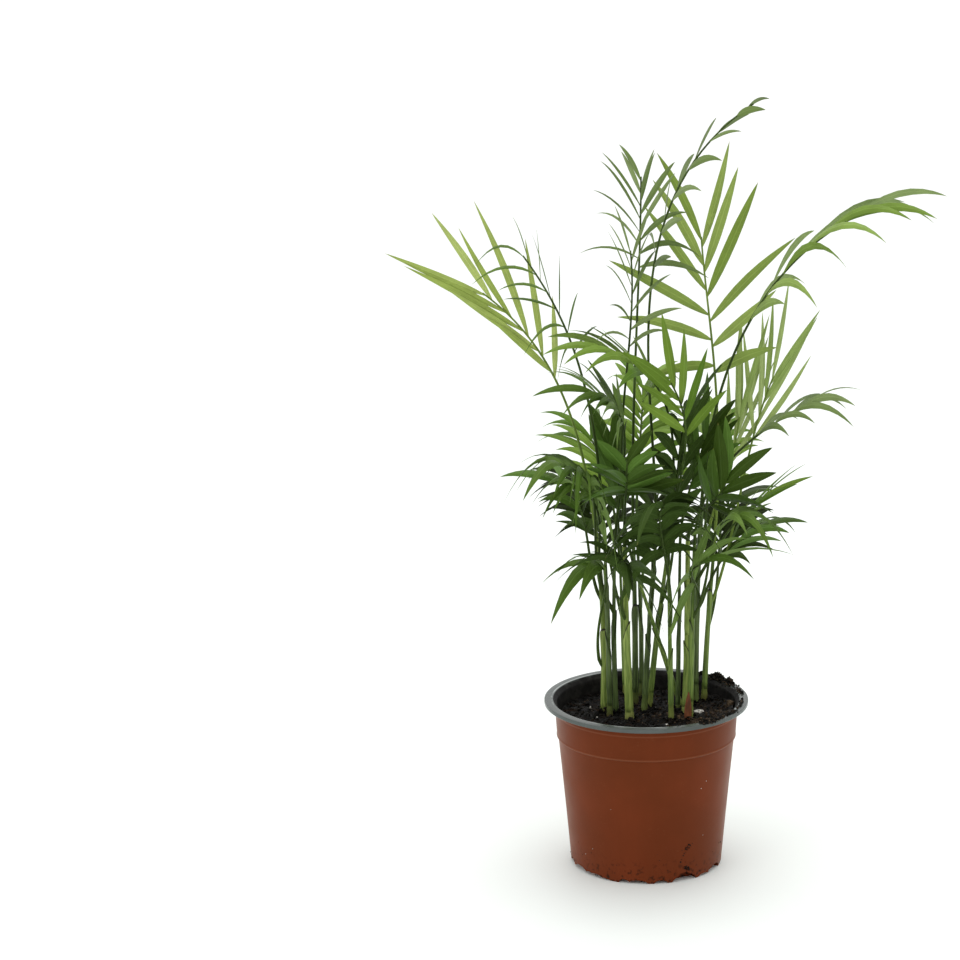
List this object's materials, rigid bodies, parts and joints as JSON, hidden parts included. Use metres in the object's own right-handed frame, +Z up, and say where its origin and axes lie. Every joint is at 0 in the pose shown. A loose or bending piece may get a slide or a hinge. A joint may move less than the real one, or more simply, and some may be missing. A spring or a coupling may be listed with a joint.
{
  "type": "potted parlour palm",
  "caption": "Parlour palm: a clump of slim upright stems with arching feather fronds, in a round nursery pot filled with soil.",
  "frame": {"origin": "centre of the pot's flat underside, on the surface that it stands on", "axes": "+Z up along the pot's axis; the pictured side faces -Y, and +X is to its right"},
  "size_m": [0.3228, 0.2317, 0.4544],
  "materials": {
    "pot": "satin terracotta-coloured polypropylene with a grey rim",
    "soil": "coarse dark peat",
    "stem": "smooth green cane with pale rings and dry sheath scraps",
    "leaf_bright": "thin satin leaf, yellow-green",
    "leaf_mid": "thin satin leaf, mid green",
    "leaf_dark": "thin satin leaf, deep green"
  },
  "bodies": {
    "root": {"pot": "pot", "soil": "soil", "stem_01": "stem", "stem_02": "stem", "stem_03": "stem", "stem_04": "stem", "stem_05": "stem", "stem_06": "stem", "stem_07": "stem", "stem_08": "stem", "stem_09": "stem", "stem_10": "stem", "stem_11": "stem", "stem_12": "stem", "stem_13": "stem", "stem_14": "stem", "stem_15": "stem", "stem_16": "stem", "frond_crest": "leaf_mid", "frond_tall": "leaf_dark", "frond_second": "leaf_mid", "frond_feather": "leaf_bright", "frond_arch_right": "leaf_bright", "frond_fan_left": "leaf_bright", "frond_left": "leaf_mid", "frond_fan_right": "leaf_bright", "frond_behind_right": "leaf_bright", "frond_side_right": "leaf_mid", "frond_fan_middle": "leaf_mid", "frond_spill_left": "leaf_mid", "frond_spill_low_left": "leaf_mid", "frond_low_left": "leaf_mid", "frond_lower_left": "leaf_mid", "frond_drip_left": "leaf_dark", "frond_front_left": "leaf_dark", "frond_low_right": "leaf_mid", "frond_point_right": "leaf_mid", "frond_hang_right": "leaf_mid", "frond_dark_middle": "leaf_dark", "frond_dark_right": "leaf_dark", "frond_curl_middle": "leaf_dark", "frond_dark_low": "leaf_dark", "frond_inner_left": "leaf_dark", "frond_inner_middle": "leaf_dark", "frond_inner_right": "leaf_dark", "frond_back_left": "leaf_mid", "frond_back_middle": "leaf_mid", "frond_back_right": "leaf_mid", "frond_back_low_left": "leaf_dark", "frond_back_low": "leaf_dark", "frond_back_low_right": "leaf_dark", "frond_side_left": "leaf_dark", "frond_side_low_right": "leaf_dark"}
  },
  "joints": []
}
